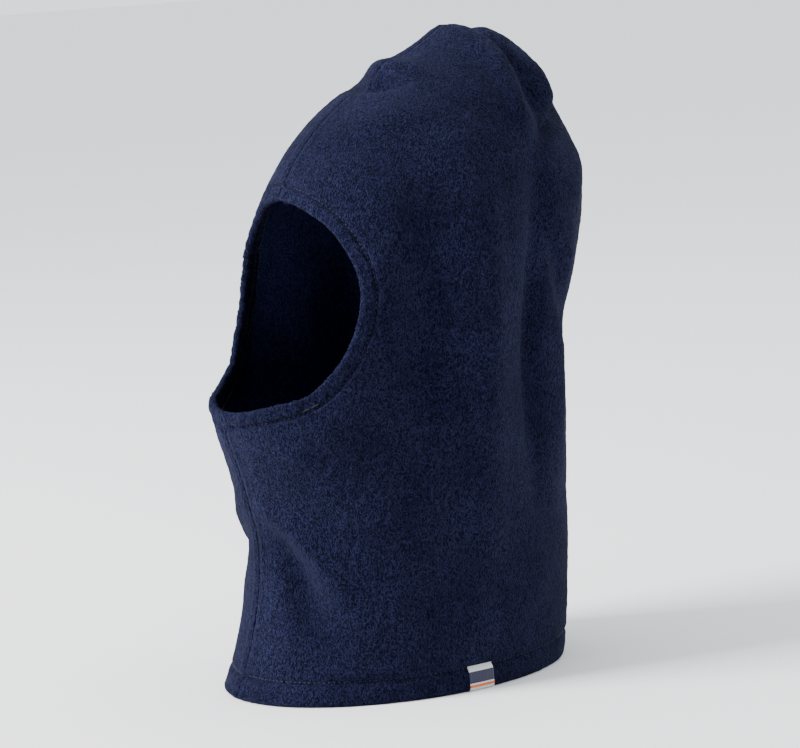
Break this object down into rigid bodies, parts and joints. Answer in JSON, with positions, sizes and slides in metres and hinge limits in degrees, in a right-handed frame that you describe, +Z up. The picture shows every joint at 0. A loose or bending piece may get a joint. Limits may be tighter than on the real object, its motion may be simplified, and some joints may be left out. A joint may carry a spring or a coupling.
{
  "type": "balaclava",
  "caption": "Pull-on fleece hood and neck tube with an oval face opening, a centre seam, turned hems and a small striped hem label.",
  "frame": {"origin": "on the mid-plane in the plane of the neck hem, in the middle of the neck opening", "axes": "+Z up from the neck hem to the crown, -Y out of the face opening, +X to the wearer's left"},
  "size_m": [0.1722, 0.2495, 0.3827],
  "materials": {
    "fleece": "navy polar fleece, short pebbled nap, matt with a soft sheen",
    "thread": "navy spun polyester sewing thread",
    "elastic": "braided flat elastic",
    "woven_label": "woven tape, white with plain navy and orange bands",
    "label_thread": "fine navy thread",
    "satin_label": "blank white satin ribbon"
  },
  "bodies": {
    "hood": {"left_side_panel": "fleece", "right_side_panel": "fleece", "left_neck_hem": "fleece", "right_neck_hem": "fleece", "left_face_hem": "fleece", "right_face_hem": "fleece", "face_elastic": "elastic", "left_face_hem_stitching": "thread", "right_face_hem_stitching": "thread", "left_neck_hem_stitching": "thread", "right_neck_hem_stitching": "thread", "back_and_crown_seam_thread": "thread", "front_neck_seam_thread": "thread", "hem_label": "woven_label", "hem_label_stitching": "label_thread", "care_label_stitching": "thread"},
    "care_label": {"care_label": "satin_label"}
  },
  "joints": [
    {"name": "care_label_swing", "type": "hinge", "parent": "hood", "child": "care_label", "pos_m": [0, 0.11295, 0.149], "axis": [-1, 0, 0], "range_deg": [0, 80]}
  ]
}
